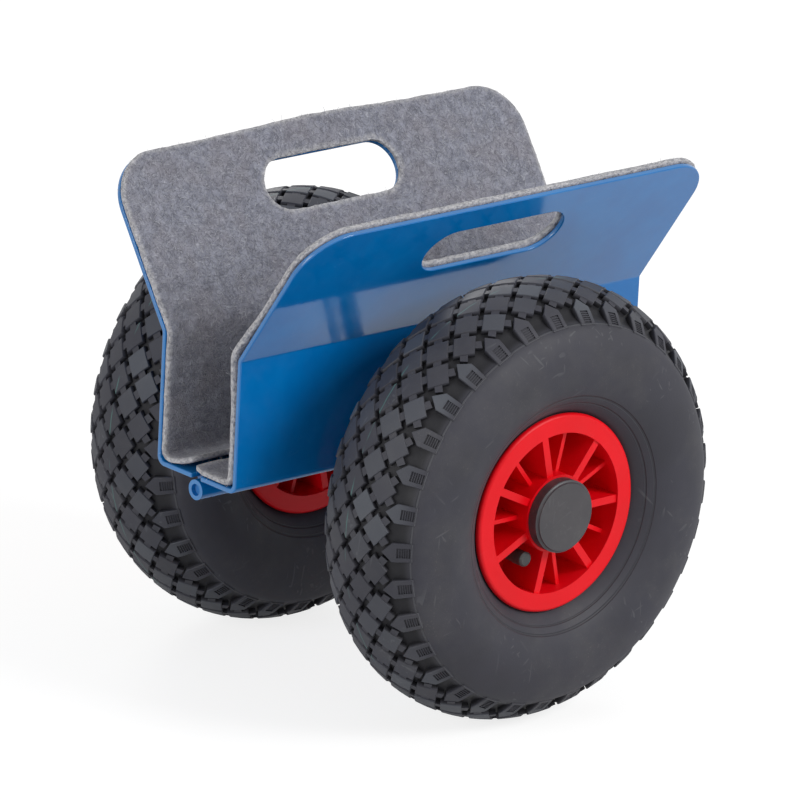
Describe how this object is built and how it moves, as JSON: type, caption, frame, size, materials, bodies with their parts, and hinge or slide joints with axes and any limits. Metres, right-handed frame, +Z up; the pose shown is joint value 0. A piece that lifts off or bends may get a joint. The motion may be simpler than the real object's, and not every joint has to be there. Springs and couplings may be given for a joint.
{
  "type": "panel dolly",
  "caption": "Self-clamping panel dolly: two hinged, flared steel jaws lined with felt form a channel for boards, each jaw on a pneumatic wheel with a spoked plastic rim.",
  "frame": {"origin": "on the ground, midway between the wheels and midway along the channel", "axes": "+X along the channel, +Y along the axles from the right jaw to the left jaw, +Z up"},
  "size_m": [0.306, 0.297, 0.3079],
  "materials": {
    "blue_paint": "glossy powder coat on bent sheet steel",
    "grey_felt": "needled grey felt",
    "zinc_steel": "zinc-plated steel",
    "tyre_rubber": "dull black rubber",
    "tube_rubber": "smooth black rubber",
    "red_plastic": "moulded red plastic with a satin gloss",
    "black_plastic": "matte black plastic",
    "white_plastic": "natural nylon"
  },
  "bodies": {
    "left_jaw": {"left_jaw_plate": "blue_paint", "left_felt_liner": "grey_felt", "left_axle": "zinc_steel", "left_split_pin": "zinc_steel", "left_axle_collar": "zinc_steel", "left_inner_washer": "zinc_steel", "left_outer_washer": "zinc_steel", "hinge_pin": "blue_paint", "hinge_knuckle_1": "blue_paint", "hinge_knuckle_3": "blue_paint", "hinge_knuckle_5": "blue_paint"},
    "right_jaw": {"right_jaw_plate": "blue_paint", "right_felt_liner": "grey_felt", "right_axle": "zinc_steel", "right_split_pin": "zinc_steel", "right_axle_collar": "zinc_steel", "right_inner_washer": "zinc_steel", "right_outer_washer": "zinc_steel", "hinge_knuckle_2": "blue_paint", "hinge_knuckle_4": "blue_paint"},
    "left_wheel": {"left_tyre": "tyre_rubber", "left_inner_tube": "tube_rubber", "left_rim": "red_plastic", "left_hub_cap": "black_plastic", "left_valve_stem": "tube_rubber", "left_valve_cap": "black_plastic", "left_inner_bush": "white_plastic", "left_outer_bush": "white_plastic"},
    "right_wheel": {"right_tyre": "tyre_rubber", "right_inner_tube": "tube_rubber", "right_rim": "red_plastic", "right_hub_cap": "black_plastic", "right_valve_stem": "tube_rubber", "right_valve_cap": "black_plastic", "right_inner_bush": "white_plastic", "right_outer_bush": "white_plastic"}
  },
  "joints": [
    {"name": "jaw_hinge", "type": "hinge", "parent": "left_jaw", "child": "right_jaw", "pos_m": [0, 0, 0.1335], "axis": [-1, 0, 0], "range_deg": [-20, 30]},
    {"name": "left_wheel_spin", "type": "hinge", "parent": "left_jaw", "child": "left_wheel", "pos_m": [0, 0.104, 0.13], "axis": [0, 1, 0], "continuous": true},
    {"name": "right_wheel_spin", "type": "hinge", "parent": "right_jaw", "child": "right_wheel", "pos_m": [0, -0.104, 0.13], "axis": [0, 1, 0], "continuous": true}
  ]
}
